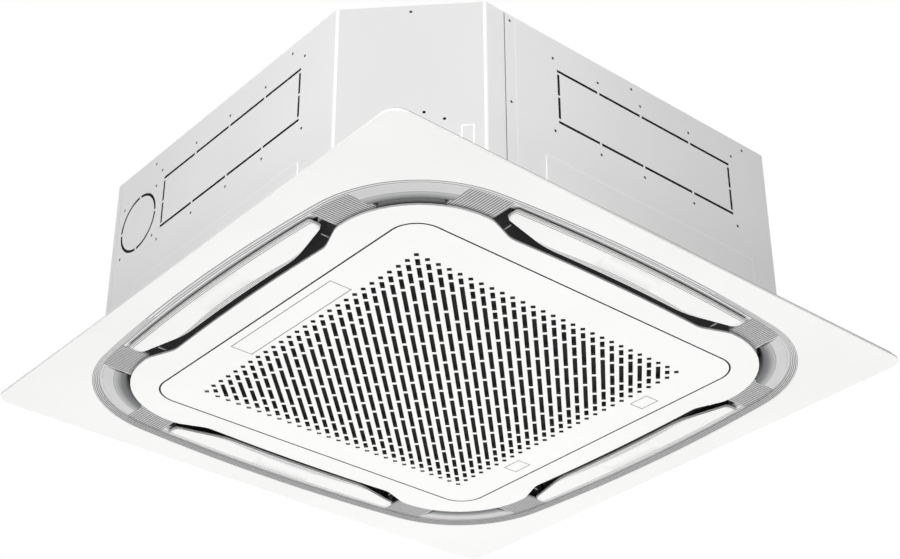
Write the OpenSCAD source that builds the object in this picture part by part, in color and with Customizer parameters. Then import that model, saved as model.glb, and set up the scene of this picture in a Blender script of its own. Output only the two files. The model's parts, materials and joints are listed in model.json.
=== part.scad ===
// Ceiling cassette air conditioner: an octagonal sheet-metal body that hangs above a ceiling,
// with a flush square panel below it that holds a hinged suction grille and four air flaps.
// +Z is up, the origin is the middle of the panel's visible face, and -Y is the front.

/* [Decoration panel] */
// Side of the square panel
panel_w = 950; // [940:1:1000]
// Corner radius of the panel
panel_corner_r = 23; // [10:1:30]
// Height of the whole panel assembly, from its visible face to the body
panel_h = 55; // [53:1:65]
// Thickness of the moulded skins
skin_t = 3; // [2:0.1:4]

/* [Air channel] */
// Distance from the middle to the channel's outer edge, halfway along a side
channel_half = 433.5; // [428:0.5:445]
// Radius of the slight bow of the channel's long sides
channel_bow_r = 2400; // [1800:10:4000]
// Radius of the channel's outer corners
channel_corner_r = 187; // [170:1:200]
// Number of fine steps in the channel's rim
step_count = 4; // [3:1:5]
// Width of one rim step
step_w = 2.5; // [2:0.1:2.8]
// Rise of one rim step
step_h = 0.8; // [0.6:0.1:1.2]
// Depth of the channel liner above the panel's face
channel_depth = 6; // [6:0.5:8]
// Thickness of the channel liner
liner_t = 2.5; // [1.5:0.1:3]

/* [Inner frame] */
// Distance from the middle to the frame's edge at its corner lobes
frame_half = 367; // [365:0.5:368]
// Radius of the frame's corner lobes
lobe_r = 136; // [126:1:136]
// Distance from the middle to the frame's edge beside the flaps
recess_half = 349.5; // [347:0.5:352]
// How far the recessed edge bows outward halfway along a flap
recess_bow = 4.6; // [3:0.1:6]

/* [Flaps] */
// Length of one flap
flap_len = 430; // [400:1:434]
// Distance from the middle to the flap's outer edge, halfway along
flap_outer = 412; // [409:0.5:412.5]
// Width of the flap, halfway along
flap_w = 46.5; // [42:0.5:48]
// Thickness of the flap
flap_t = 4; // [3:0.1:5]
// Radius of the flap's stub shafts
flap_shaft_r = 3; // [2:0.1:4]
// Gap between a flap's end and the end of its opening
flap_end_gap = 7; // [5:0.5:9]

/* [Suction grille] */
// Side of the square grille
grille_w = 618; // [612:1:622]
// Corner radius of the grille
grille_corner_r = 42; // [30:1:50]
// Gap between the grille and the inner frame
grille_gap = 2; // [1.5:0.1:3]
// Thickness of the grille plate
grille_t = 2.5; // [2:0.1:3]
// Distance between neighbouring rows of slots
slot_pitch = 13.36; // [12:0.01:16]
// Width of a slot
slot_w = 6.6; // [4:0.1:8]
// Length of a full slot together with the bridge after it
slot_cell = 57.2; // [45:0.1:70]
// Width of the bridges between slots of one row
slot_bridge = 5.6; // [4:0.1:8]
// Half of the slotted field's diagonal
field_reach = 354; // [300:1:356]
// Shift of the slotted field towards the back
field_shift = 6; // [0:0.5:8]

/* [Body] */
// Width and depth of the octagonal body
body_w = 830; // [826:1:838]
// Height of the body above the panel
body_h = 250; // [248:1:300]
// Length cut off each corner, along the side
corner_cut = 140; // [130:1:145]
// Thickness of the sheet metal
sheet_t = 1.2; // [0.8:0.1:1.6]
// Outer radius of the bends in the sheet metal
bend_out_r = 9; // [4:0.5:14]
// Thickness of the foam inside the walls
foam_t = 8; // [5:0.5:9]
// Height of the drain pan
pan_h = 45; // [40:1:50]

/* [Fan and coil] */
// Outer radius of the turbo fan
fan_r = 230; // [215:1:235]
// Number of fan blades
blade_count = 7; // [5:1:9]
// Radius of the motor shaft
shaft_r = 5; // [4:0.1:6]
// Radius of the bell mouth's throat
throat_r = 192; // [180:1:196]
// Distance from the body's outer face to the coil
coil_margin = 70; // [68:0.5:75]
// Thickness of the coil
coil_t = 38; // [30:1:42]
// Distance between neighbouring coil fins
fin_pitch = 12; // [9:0.5:20]

/* [Hanging] */
// Distance between the hanger slots, along both sides
hanger_pitch = 724; // [716:1:732]
// Width of a hanger slot
hanger_slot_w = 12; // [9:0.1:14]
// Length of a hanger slot, end to end
hanger_slot_len = 26; // [20:1:30]

/* [Pipes] */
// Radius of the gas pipe
gas_pipe_r = 7.94; // [6:0.01:9.5]
// Radius of the liquid pipe
liquid_pipe_r = 4.76; // [3:0.01:6.4]
// Radius of the drain outlet
drain_r = 16; // [12:0.5:18]

/* [Hidden] */
$fn = 96;
big_fn = 360;          // facets of the very large arcs when drawn as a mesh
eps = 0.01;
fit = 0.3;             // gap between pieces that lie against each other
run = 0.05;            // radial clearance of a turning shaft

panel_white = "#f4f4f4";
channel_grey = "#c9c9c9";
sheet_grey = "#dcdcdc";

// Heights, from the visible face upwards
liner_z = channel_depth;
liner_top = liner_z + liner_t;
seal_t = 2;
chassis_t = 3;
chassis_top = panel_h - seal_t;
chassis_z = chassis_top - chassis_t;
body_z = panel_h;
body_top = body_z + body_h;
pan_top = body_z + pan_h;
roof_foam_z = body_top - sheet_t - fit - 10;
coil_top = roof_foam_z - fit;
body_half = body_w / 2;
coil_half = body_half - coil_margin;
wall_in = body_half - sheet_t;
foam_in = wall_in - fit - foam_t;

// Openings for the flaps
opening_t = flap_len / 2 + flap_end_gap;
corner_edge = 290;     // where the corner outlets begin, from the middle
rim_w = step_count * step_w;

// Ducts through the chassis and the drain pan
duct_in = recess_half + 8;
duct_out = foam_in - 2;
duct_t = opening_t - 17;

// Grille opening, hinge and latches
opening_w = grille_w + 2 * grille_gap;
hinge_x = -(grille_w / 2 - 40);
hinge_z = 7;
hinge_y = 200;
hinge_pin_r = 2;
ear_t = 8;
lug_t = 4;
latch_size = [24, 33];
latch_at = [grille_w / 2 - 32, 142.5];
window_size = [35, 233];
filter_w = 520;
filter_z = 9;
filter_t = 5;

// Flap pivot
pivot_out = flap_outer - 23;
pivot_z = 20;
bush_t = 8;
arm_t = 4;
arm_at = flap_len / 2 - 10;
flap_motor_r = 14;
flap_motor_rise = 8;
bush_gap = 2;

// Fan stack, from the bell mouth upwards
mouth_curve = 48;
bell_r = throat_r + mouth_curve;
bell_wall = 2.5;
bell_top = pan_top + 8;
fan_low = pan_top - 2;
shroud_in = throat_r + 8;
fan_top = fan_low + 141;
dome_low = fan_top - 62;
motor_r = 58;
motor_z = dome_low + 15;
motor_top = fan_top + 23;
mount_top = motor_top + 4 + 14;

// Open corner of the coil, at the back right
coil_end = 215;
coil_end_x = coil_end + fit + 1.5;
coil_corner_r = 95;
pump_at = 303;
pump_r = 26;
float_at = 275;
gas_z = body_z + 95;
liquid_z = body_z + 155;
drain_z = body_z + 160;
drain_neck_r = drain_r - 2;
gas_thread_r = 11.1;
liquid_thread_r = 7.9;

function turned(p, a) = [p.x * cos(a) - p.y * sin(a), p.x * sin(a) + p.y * cos(a)];
function unit(v) = v / norm(v);

// Points of the arc that rounds corner b between a and c; each is [x, y, radius of b]
function corner_arc(a, b, c) =
    let (at = [b.x, b.y], u = unit([a.x, a.y] - at), v = unit([c.x, c.y] - at),
        half_angle = acos(max(-1, min(1, u * v))) / 2, r = b.z,
        mid = at + unit(u + v) * r / sin(half_angle),
        from = at + u * r / tan(half_angle) - mid, to = at + v * r / tan(half_angle) - mid,
        start = atan2(from.y, from.x),
        sweep = (atan2(to.y, to.x) - start + 540) % 360 - 180,
        count = max(2, ceil(abs(sweep) / 7), ceil(r * abs(sweep) * PI / 180 / 45)))
    r == 0 ? [at] : [for (i = [0:count]) mid + r * [cos(start + sweep * i / count),
        sin(start + sweep * i / count)]];
function rounded_path(p) = let (n = len(p))
    [for (i = [0:n - 1]) each corner_arc(p[(i + n - 1) % n], p[i], p[(i + 1) % n])];

// A bowed edge is a shallow peak, rounded to all but the last 30 mm of its half length
bow_end = 30;
function bow_r(half_len, rise) = (half_len * half_len - bow_end * bow_end) / (2 * rise);
function bow_peak(half_len, rise) = 2 * rise * half_len / (half_len + bow_end);

// Outline of the inner frame, moved inward by inset
lobe_t = 222;
recess_t = 178;
bend_r = 40;
function frame_path(inset) = let (
    out = frame_half - inset, dip = recess_half - inset,
    side = [[-lobe_t, -out, bend_r], [-recess_t, -dip, bend_r],
        [0, -dip - bow_peak(recess_t, recess_bow), bow_r(recess_t, recess_bow)],
        [recess_t, -dip, bend_r], [lobe_t, -out, bend_r], [out, -out, lobe_r - inset]])
    rounded_path([for (k = [0:3], p = side) let (q = turned([p.x, p.y], 90 * k)) [q.x, q.y, p.z]]);

// Outline of a flap on the front side
shoulder_t = 132;
inner_bow = 3;
outer_bow = 7.5;
function flap_path() = let (
    end_t = flap_len / 2, inner = flap_outer - flap_w - inner_bow, tip = inner + 20,
    outer = flap_outer - outer_bow)
    rounded_path([[-shoulder_t, -inner, 110], [-end_t, -tip, 8], [-end_t, -outer, 3],
        [0, -outer - bow_peak(end_t, outer_bow), bow_r(end_t, outer_bow)],
        [end_t, -outer, 3], [end_t, -tip, 8], [shoulder_t, -inner, 110],
        [0, -inner - bow_peak(shoulder_t, inner_bow), bow_r(shoulder_t, inner_bow)]]);

// Middle of the channel's corner arcs, which touch the bowed sides
channel_s = channel_bow_r - channel_half;
channel_d = channel_bow_r - channel_corner_r;
channel_c = (sqrt(2 * channel_d * channel_d - channel_s * channel_s) - channel_s) / 2;
channel_join = channel_c * channel_bow_r / channel_d;

module channel_outline(inset) {
    intersection() {
        intersection_for (k = [0:3]) rotate(90 * k) translate([0, channel_s])
            circle(channel_bow_r - inset, $fn = big_fn * 4);
        union() {
            square([2 * channel_join, panel_w], center = true);
            square([panel_w, 2 * channel_join], center = true);
            for (k = [0:3]) rotate(90 * k) translate([channel_c, channel_c])
                circle(channel_corner_r - inset, $fn = big_fn);
        }
    }
}

module rounded_square(w, r) {
    square([w, w - 2 * r], center = true);
    square([w - 2 * r, w], center = true);
    for (k = [0:3]) rotate(90 * k) translate([w / 2 - r, w / 2 - r]) circle(r);
}

module box(size) linear_extrude(size.z) square([size.x, size.y], center = true);

// The body's outline moved inward by inset, with the bends rounded about the same centres
module octagon(inset) {
    half = body_half - inset;
    c = corner_cut - inset * (2 - sqrt(2));
    r = max(0, bend_out_r - inset);
    polygon(rounded_path([for (k = [0:3], p = [[half - c, -half], [half, c - half]])
        let (q = turned(p, 90 * k)) [q.x, q.y, r]]));
}

// Runs a piece drawn on the front (-Y) side round to the right, back or left
module on_side(k) rotate(90 * k) children();
module each_side() for (k = [0:3]) on_side(k) children();

// Block on the front side: from t0 to t1 along it, from out0 to out1 away from the middle
module side_block(t0, t1, out0, out1, z0, z1) {
    translate([t0, -out1, z0]) cube([t1 - t0, out1 - out0, z1 - z0]);
}

// ---- Panel ----

module outer_panel() color(panel_white) {
    linear_extrude(skin_t) difference() {
        rounded_square(panel_w, panel_corner_r);
        channel_outline(-fit);
    }
    // Stiffening ribs behind the skin
    rib_w = 2.5;
    translate([0, 0, skin_t - eps]) linear_extrude(4) difference() {
        rounded_square(panel_w - 32, panel_corner_r);
        rounded_square(panel_w - 32 - 2 * rib_w, panel_corner_r);
    }
    translate([0, 0, skin_t - eps]) linear_extrude(liner_z - skin_t + eps) difference() {
        channel_outline(-7 - rib_w);
        channel_outline(-7);
    }
}

module ceiling_seal() color("#5a5a5a") translate([0, 0, skin_t]) linear_extrude(5) difference() {
    rounded_square(panel_w - 8, panel_corner_r);
    rounded_square(panel_w - 24, panel_corner_r);
}

module channel_rim() color(channel_grey) difference() {
    linear_extrude(liner_z) channel_outline(0);
    for (i = [1:step_count]) translate([0, 0, -1])
        linear_extrude(i < step_count ? i * step_h + 1 : liner_z + 2) channel_outline(i * step_w);
}

module channel_liner() color(channel_grey) {
    liner_plate();
    each_side() side_lip();
    // Fine ribs across the channel between each flap and corner outlet
    translate([0, 0, liner_z - rib_h]) linear_extrude(rib_h + eps) difference() {
        intersection() {
            channel_outline(rim_w + rib_w);
            each_side() for (t = [opening_t + rib_pitch:rib_pitch:corner_edge - rib_w], s = [-1, 1])
                translate([s * t - rib_w / 2, -channel_half]) square([rib_w, channel_half - recess_half]);
        }
        polygon(frame_path(guide_in - fit));
    }
}
// Lip along the outer side of a flap: a flat quarter oval, cut back at the flap's arms and shaft
lip_start = 0.5;
lip_run = 24;
lip_rise = 7;
lip_top = 26;
lip_end = channel_bow_r - rim_w - lip_start;
module side_lip() difference() {
    side_lip_strip();
    for (s = [0, 1]) mirror([s, 0, 0]) side_block(arm_at - arm_t / 2 - 2, opening_t + 1,
        pivot_out - 12, pivot_out + 6.5, flap_t + 1, panel_h);
}
module side_lip_strip() intersection() {
    translate([0, channel_s, 0]) rotate([0, 0, -97])
        rotate_extrude(angle = 14, $fn = big_fn * 4) polygon(concat(
        [[lip_end + 1, liner_z], [lip_end, liner_z]],
        [for (a = [262:-8:182]) [lip_end + lip_run * cos(a), liner_z + lip_rise * (1 + sin(a))]],
        [[lip_end - lip_run, lip_top], [lip_end - lip_run + liner_t, lip_top]],
        [for (a = [182:8:262]) [lip_end + (lip_run - liner_t) * cos(a),
            liner_z + lip_rise + (lip_rise - liner_t) * sin(a)]],
        [[lip_end, liner_top], [lip_end + 1, liner_top]]));
    translate([-opening_t, -panel_w, 0]) cube([2 * opening_t, 2 * panel_w, panel_h]);
}
rib_pitch = 4;
rib_w = 1.4;
rib_h = 0.9;
module liner_plate() translate([0, 0, liner_z]) linear_extrude(liner_t)
    difference() {
        channel_outline(-18);
        polygon(frame_path(guide_in - fit));
        each_side() intersection() {
            channel_outline(rim_w + lip_start);
            translate([-opening_t, -channel_half]) square([2 * opening_t, channel_half - recess_half + 10]);
        }
        for (k = [0:3]) rotate(90 * k) intersection() {
            channel_outline(outlet_inset);
            translate([corner_edge, corner_edge]) square(corner_edge);
        }
    }

// Air guide: the dark wall between the ducts and the suction opening
guide_in = 1.5;
guide_t = 3;
module air_guide() color("#303030") translate([0, 0, skin_t]) linear_extrude(chassis_z - skin_t)
    difference() {
        polygon(frame_path(guide_in));
        polygon(frame_path(guide_in + guide_t));
    }

// Corner outlets: a wide lip, bulging down towards its throat, between two end walls
outlet_inset = rim_w + 4;
lip_r = channel_corner_r - outlet_inset - fit;
lip_w = 36;
outlet_h = 28;
throat_w = 5;
roll_r = 10;
slope_w = 20;
lip_low = 3;
end_wall_t = 1.5;
module corner_outlets() color("#d2d2d2") for (k = [0:3]) rotate(90 * k) intersection() {
    translate([channel_c, channel_c, 0]) union() {
        rotate_extrude($fn = big_fn) polygon(concat(
            [[lip_r, liner_z], [lip_r - slope_w, lip_low]],
            [for (a = [270:-10:180]) rolled_point(roll_r, a)],
            [[lip_r - lip_w, outlet_h], [lip_r - lip_w + liner_t, outlet_h]],
            [for (a = [180:10:270]) rolled_point(roll_r - liner_t, a)],
            [[lip_r - slope_w, lip_low + liner_t], [lip_r, liner_top]]));
        intersection() {
            rotate_extrude() translate([lip_r - lip_w - throat_w, liner_z + 0.5])
                square([lip_w + throat_w - 1, outlet_h - liner_z]);
            union() {
                reach = corner_edge - channel_c;
                translate([reach - 1, reach - 1, 0]) cube([end_wall_t + 1, corner_edge, panel_h]);
                translate([reach - 1, reach - 1, 0]) cube([corner_edge, end_wall_t + 1, panel_h]);
            }
        }
    }
    translate([corner_edge, corner_edge, 0]) cube([corner_edge, corner_edge, panel_h]);
}
function rolled_point(r, a) =
    [lip_r - lip_w + roll_r + r * cos(a), lip_low + roll_r + r * sin(a)];

module inner_frame() color(panel_white) {
    linear_extrude(skin_t) difference() {
        polygon(frame_path(0));
        rounded_square(opening_w, grille_corner_r + grille_gap);
    }
    // Lip round the grille and ribs out to the air guide
    translate([0, 0, skin_t - eps]) linear_extrude(liner_top - skin_t + eps) {
        difference() {
            rounded_square(opening_w + 2 * chassis_t, grille_corner_r + grille_gap + chassis_t);
            rounded_square(opening_w, grille_corner_r + grille_gap);
        }
        rib_in = opening_w / 2 + 1;
        rib_out = recess_half - guide_in - guide_t - fit;
        each_side() for (t = [-240, -120, 0, 120, 240])
            translate([t - 1, -rib_out]) square([2, rib_out - rib_in]);
    }
}

module panel_chassis() color("#e2e2e2") {
    difference() {
        union() {
            translate([0, 0, chassis_z]) linear_extrude(chassis_t) difference() {
                channel_outline(6);
                rounded_square(suction_w, suction_r);
                each_side() translate([-duct_t, -duct_out]) square([2 * duct_t, duct_out - duct_in]);
            }
            for (y = [-hinge_y, hinge_y]) translate([0, y, 0]) hinge_ear();
        }
        panel_bolt_holes(2.7);
    }
}

// Outer wall between the channel liner and the chassis
module duct_wall() color("#e2e2e2") translate([0, 0, liner_top])
    linear_extrude(chassis_z - liner_top) difference() {
        channel_outline(6);
        channel_outline(6 + chassis_t);
    }

// Collar round the grille, up to the chassis, with the forks that the latches hook into
module grille_collar() color("#e2e2e2") {
    translate([0, 0, liner_top]) linear_extrude(chassis_z - liner_top) difference() {
        rounded_square(opening_w + 2 * chassis_t, grille_corner_r + grille_gap + chassis_t);
        rounded_square(opening_w, grille_corner_r + grille_gap);
    }
    for (y = [-1, 1]) translate([0, y * latch_at.y, 0]) latch_fork();
}

// Hangs from the chassis so that the grille's edge can swing up beside it
module hinge_ear() {
    ear_w = 7;
    difference() {
        union() {
            translate([hinge_x - ear_w / 2, -ear_t / 2, hinge_z])
                cube([ear_w, ear_t, chassis_z + 1 - hinge_z]);
            along_y(hinge_x, hinge_z, ear_t, ear_w / 2);
        }
        along_y(hinge_x, hinge_z, ear_t + 2, hinge_pin_r + run);
    }
}

module latch_fork() for (s = [-1, 1]) translate([latch_at.x - 8, s * (stem_w / 2 + fit + 1.5) - 1.5, 14])
    cube([opening_w / 2 + 1 - latch_at.x + 8, 3, 8]);

// Cylinder along Y, centred on y = 0
module along_y(x, z, len, r) translate([x, len / 2, z]) rotate([90, 0, 0]) cylinder(r = r, h = len);
// Cylinder along X from x0 to x1
module along_x(x0, x1, y, z, r) translate([x0, y, z]) rotate([0, 90, 0]) cylinder(r = r, h = x1 - x0);

suction_w = 550;
suction_r = 160;
pan_hole_w = 600;
pan_hole_r = 150;
bolt_at = pan_hole_w / 2 - pan_hole_r * (1 - sqrt(0.5)) - 16;
module panel_bolt_holes(r) for (x = [-1, 1], y = [-1, 1])
    translate([x * bolt_at, y * bolt_at, chassis_z - 1]) cylinder(r = r, h = 30);

module panel_bolts() color("silver") for (x = [-1, 1], y = [-1, 1])
    translate([x * bolt_at, y * bolt_at, 0]) {
        translate([0, 0, chassis_z - 4]) cylinder(r = 4.6, h = 4, $fn = 6);
        translate([0, 0, chassis_z - eps]) cylinder(r = 2.5, h = body_z + 10 - chassis_z);
    }

module body_seal() color("#5a5a5a") translate([0, 0, chassis_top]) linear_extrude(seal_t) {
    difference() {
        octagon(1);
        octagon(body_half - duct_out - 1);
    }
    difference() {
        rounded_square(pan_hole_w - 10, pan_hole_r);
        rounded_square(pan_hole_w - 30, pan_hole_r - 10);
    }
}

// ---- Flaps ----

module flap() color(panel_white) {
    linear_extrude(flap_t) polygon(flap_path());
    for (s = [-1, 1]) {
        side_block(s * arm_at - arm_t / 2, s * arm_at + arm_t / 2, pivot_out - 5, pivot_out + 5,
            flap_t - eps, pivot_z);
        along_x(s * arm_at - arm_t / 2, s * arm_at + arm_t / 2, -pivot_out, pivot_z, 5);
    }
    for (s = [0, 1]) mirror([s, 0, 0])
        along_x(arm_at, opening_t + bush_gap + bush_t - fit, -pivot_out, pivot_z, flap_shaft_r);
}
module flap_front() on_side(0) flap();
module flap_right() on_side(1) flap();
module flap_back() on_side(2) flap();
module flap_left() on_side(3) flap();

module flap_bushes() color("#e8e8e8") each_side() for (s = [0, 1]) mirror([s, 0, 0])
    translate([opening_t + bush_gap, 0, 0]) difference() {
        union() {
            side_block(0, bush_t, pivot_out - 7, pivot_out + 7, liner_top, pivot_z);
            along_x(0, bush_t, -pivot_out, pivot_z, 7);
        }
        along_x(-1, bush_t + 1, -pivot_out, pivot_z, flap_shaft_r + run);
    }

module flap_motors() color("#c8ccd0") each_side()
    translate([opening_t + bush_gap + bush_t, 0, 0]) {
        along_x(0, 3, -pivot_out, pivot_z, 5);
        along_x(2, 20, -pivot_out, pivot_z + flap_motor_rise, flap_motor_r);
        side_block(6, 16, pivot_out - 8, pivot_out + 8, liner_top, pivot_z);
    }

// ---- Grille ----

// Spans of the slots in one row, given its half length; odd rows are shifted by half a cell
end_slot = 7.5;
end_gap = 7;
dash_len = 16;
second_dash = 26;
function row_spans(row) = let (
    half = field_reach - abs(row) * slot_pitch,
    dash_end = half - end_slot - end_gap,
    inner = dash_end - dash_len - slot_bridge,
    split = abs(row) % 6 < 4 && inner > 2 * second_dash,
    main = split ? inner - second_dash - slot_bridge : inner,
    shift = abs(row) % 2 == 0 ? slot_cell / 2 : 0,
    last = floor((main - 20 - shift) / slot_cell),
    cuts = last < 0 && shift > 0 ? [] : [for (i = [0:max(0, last)]) shift + i * slot_cell],
    edges = main < 25 ? [] : cuts)
    half < 8 ? [[-end_slot / 2, end_slot / 2]] :
    concat(
        [[half - end_slot, half], [-half, end_slot - half]],
        inner < 8 ? [[-dash_end, dash_end]] : concat(
            [[dash_end - dash_len, dash_end], [-dash_end, dash_len - dash_end]],
            split ? [[inner - second_dash, inner], [-inner, second_dash - inner]] : [],
            len(edges) == 0 ? [[-main, main]] : main_spans(edges, main)));
// Splits -main..main at each cut and its mirror image
function main_spans(cuts, main) = let (
    b = slot_bridge / 2,
    points = concat([for (i = [len(cuts) - 1:-1:0]) -cuts[i]], cuts[0] == 0 ?
        [for (i = [1:1:len(cuts) - 1]) cuts[i]] : cuts))
    [for (i = [0:len(points)])
        [i == 0 ? -main : points[i - 1] + b, i == len(points) ? main : points[i] - b]];

row_count = floor(field_reach / slot_pitch);
slots = [for (row = [-row_count:row_count], span = row_spans(row)) [row * slot_pitch, span]];

module slot_field() {
    w = slot_w / 2;
    corners = [for (s = slots, p = [[-w, 0], [w, 0], [w, 1], [-w, 1]])
        turned([s[0] + p.x, s[1][p.y]], -45)];
    translate([0, field_shift]) polygon(corners,
        [for (i = [0:len(slots) - 1]) [4 * i, 4 * i + 1, 4 * i + 2, 4 * i + 3]]);
}

stem_w = 12;
module grille() color(panel_white) {
    linear_extrude(grille_t) difference() {
        rounded_square(grille_w, grille_corner_r);
        slot_field();
        translate([-latch_at.x, 0])
            square([window_size.x + 2 * fit, window_size.y + 2 * fit], center = true);
        for (s = [-1, 1]) translate([latch_at.x, s * latch_at.y])
            square([latch_size.x + 2 * fit, latch_size.y + 2 * fit], center = true);
    }
    // Rim, notched where the hinge ears reach down
    translate([0, 0, grille_t - eps]) linear_extrude(5.5) difference() {
        rounded_square(grille_w - 8, grille_corner_r);
        rounded_square(grille_w - 12, grille_corner_r - 2);
        for (y = [-hinge_y, hinge_y]) translate([-grille_w / 2, y]) square([30, ear_t + 8], center = true);
    }
    // Seat of the filter
    translate([0, 0, grille_t - eps]) linear_extrude(filter_z - grille_t + eps) difference() {
        rounded_square(filter_w - 6, 6);
        rounded_square(filter_w - 12, 4);
        translate([-latch_at.x, 0]) square(window_size + [6, 6], center = true);
        for (s = [-1, 1]) translate([latch_at.x, s * latch_at.y])
            square(latch_size + [8, 8], center = true);
    }
    for (y = [-hinge_y, hinge_y], s = [-1, 1])
        translate([0, y + s * (ear_t / 2 + 0.5 + lug_t / 2), 0]) difference() {
            union() {
                translate([hinge_x - 4, -lug_t / 2, grille_t - eps]) cube([8, lug_t, hinge_z - grille_t]);
                along_y(hinge_x, hinge_z, lug_t, 4);
            }
            along_y(hinge_x, hinge_z, lug_t + 1, hinge_pin_r + 0.02);
        }
}

module grille_hinge_pins() color("silver") for (y = [-hinge_y, hinge_y])
    translate([0, y, 0]) along_y(hinge_x, hinge_z, ear_t + 2 * lug_t + 3, hinge_pin_r);

module receiver_cover() color(panel_white) translate([-latch_at.x, 0, 0]) {
    box([window_size.x, window_size.y, grille_t + eps]);
    translate([0, 0, grille_t]) box([window_size.x + 4, window_size.y + 4, 1]);
    for (y = [-50, 50]) translate([0, y, grille_t + 1 - eps]) cylinder(r = 3, h = 2);
}

module receiver_board() color("darkgreen") translate([-latch_at.x, 0, grille_t + 3]) {
    box([20, 120, 1.6]);
    translate([0, 0, 1.6 - eps]) {
        box([8, 18, 2.4]);
        translate([0, 32, 0]) cylinder(r = 3, h = 2.4);
        translate([0, -32, 0]) cylinder(r = 3, h = 2.4);
    }
}

module latch() color(panel_white) {
    box([latch_size.x, latch_size.y, grille_t + fit + eps]);
    translate([0, 0, grille_t + fit]) box([latch_size.x + 6, latch_size.y + 6, 1.5]);
    translate([-3, 0, grille_t + fit + 1]) box([10, stem_w, 22]);
}
module latch_front() translate([latch_at.x, -latch_at.y, 0]) latch();
module latch_back() translate([latch_at.x, latch_at.y, 0]) latch();

module filter_frame() color("#404040") translate([0, 0, filter_z]) linear_extrude(filter_t) {
    difference() {
        rounded_square(filter_w, 6);
        rounded_square(filter_w - 24, 4);
    }
    for (i = [-1, 0, 1]) {
        square([filter_w - 20, 3], center = true);
        translate([i * filter_w / 4, 0]) square([3, filter_w - 20], center = true);
        translate([0, i * filter_w / 4]) square([filter_w - 20, 3], center = true);
    }
}

// The mesh lies under the bars of its frame, inside the grille's filter seat
module filter_mesh() color("#2a2324") translate([0, 0, filter_z - 0.8])
    linear_extrude(0.8) rounded_square(filter_w - 13, 3.5);

// ---- Body ----

corner_start = body_half - corner_cut;
// Where each wall's own sheet begins; the left one's lies beyond the round knock-out
seam_gap = 0.6;
seams = [34, 34, 34, 12];
function seam_at(k) = seams[k % 4] - corner_start;
// Sheet k, drawn as the front one: a wall, the cut corner on its right and a strip of the next
// wall, as far as the next sheet's seam
module side_sheet(k) translate([0, 0, body_z]) linear_extrude(body_h - sheet_t) intersection() {
    difference() {
        octagon(0);
        octagon(sheet_t);
    }
    translate([seam_at(k) + seam_gap / 2, -body_w])
        square([2 * body_w, body_w + seam_at(k + 1) - seam_gap / 2]);
}

// Slit outline of a rectangular knock-out: s0..s1 along the wall, z0..z1, with bridges at stops
slit_w = 4.4;
tab_w = 3.5;
module knock_out(s0, s1, z0, z1, stops) {
    mid_z = (z0 + z1) / 2;
    through() difference() {
        translate([s0, z0]) square([s1 - s0, z1 - z0]);
        translate([s0 + slit_w, z0 + slit_w]) square([s1 - s0 - 2 * slit_w, z1 - z0 - 2 * slit_w]);
        for (s = stops) translate([s - tab_w / 2, z0 - 1]) square([tab_w, z1 - z0 + 2]);
        for (s = [s0, s1], z = [z0 + slit_w + tab_w / 2, mid_z, z1 - slit_w - tab_w / 2])
            translate([s, z]) square([30, tab_w], center = true);
    }
    for (s = concat([s0 - 7], stops, [s1 + 7]), z = [z0 - 16, z1 + 16]) wall_hole(s, z);
}
// Cuts a shape drawn in the wall's plane through the front wall
module through() translate([0, -body_half + 5, 0]) rotate([90, 0, 0]) linear_extrude(10) children();
hole_r = 2.2;
module wall_hole(s, z) through() translate([s, z]) circle(hole_r, $fn = 24);
module round_knock_out(s, z, r) {
    through() translate([s, z]) difference() {
        circle(r);
        circle(r - slit_w);
        for (a = [0, 90]) rotate(a) square([2 * r + 2, tab_w], center = true);
    }
    for (x = [-1, 1], y = [-1, 1]) wall_hole(s + x * (r - 4), z + y * (r - 4));
}
// Shallow pressed pad low on a wall, rounded at its top corners
pad_t = 0.8;
module pressed_pad(s0, s1, h, r) translate([0, eps - body_half, body_z]) rotate([90, 0, 0])
    linear_extrude(pad_t + eps) polygon(rounded_path([[s0, 0, 0], [s1, 0, 0], [s1, h, r], [s0, h, r]]));

knock_low = body_z + 110;
knock_high = body_z + 200;
// Places children on a cut corner: X along it, -Y outward; corner 0 is the front left one
corner_face = (body_half + corner_start) / sqrt(2);
module on_corner(k) rotate(-45 + 90 * k) translate([0, -corner_face, 0]) children();
module corner_bore(u, z, r) translate([u, 5, z]) rotate([90, 0, 0]) cylinder(r = r, h = 10, $fn = 24);
module corner_holes() {
    corner_bore(0, body_top - 11.5, hole_r);
    corner_bore(18.5, body_z + 71, hole_r);
    corner_bore(45, body_z + 59, hole_r);
    for (u = [-1, 1]) corner_bore(u * screw_u, screw_z, screw_r + 0.1);
}
module corner_pad() translate([0, body_half, 0]) pressed_pad(67, 82.5, 47, 4);

// A sheet with its corner's holes and pad; children cut the wall's own holes
module pierced_sheet(k) {
    difference() {
        side_sheet(k);
        on_corner(1) corner_holes();
        children();
    }
    on_corner(1) corner_pad();
}
module side_sheet_front() color(sheet_grey) {
    pierced_sheet(0) {
        knock_out(-146, 196, knock_low, knock_high, [-68, 15, 113]);
        for (s = [-1, 229]) wall_hole(s, body_top - 12);
        for (z = [body_z + 104, body_top - 10]) wall_hole(-231, z);
    }
    pressed_pad(-172, 227.5, 47.5, 8);
}
gland_s = 205;
gland_z = body_z + 175;
module side_sheet_right() color(sheet_grey) on_side(1) {
    pierced_sheet(1) {
        knock_out(-200, 140, knock_low, knock_high, [-115, -30, 55]);
        through() translate([gland_s, gland_z]) circle(gland_thread_r + fit);
        on_corner(1) {
            corner_bore(-pipe_u, liquid_z, liquid_pipe_r + 3);
            corner_bore(pipe_u, gas_z, gas_pipe_r + 3);
            corner_bore(0, drain_z, drain_neck_r + fit);
        }
    }
    pressed_pad(-200, 170, 42, 8);
}
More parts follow.
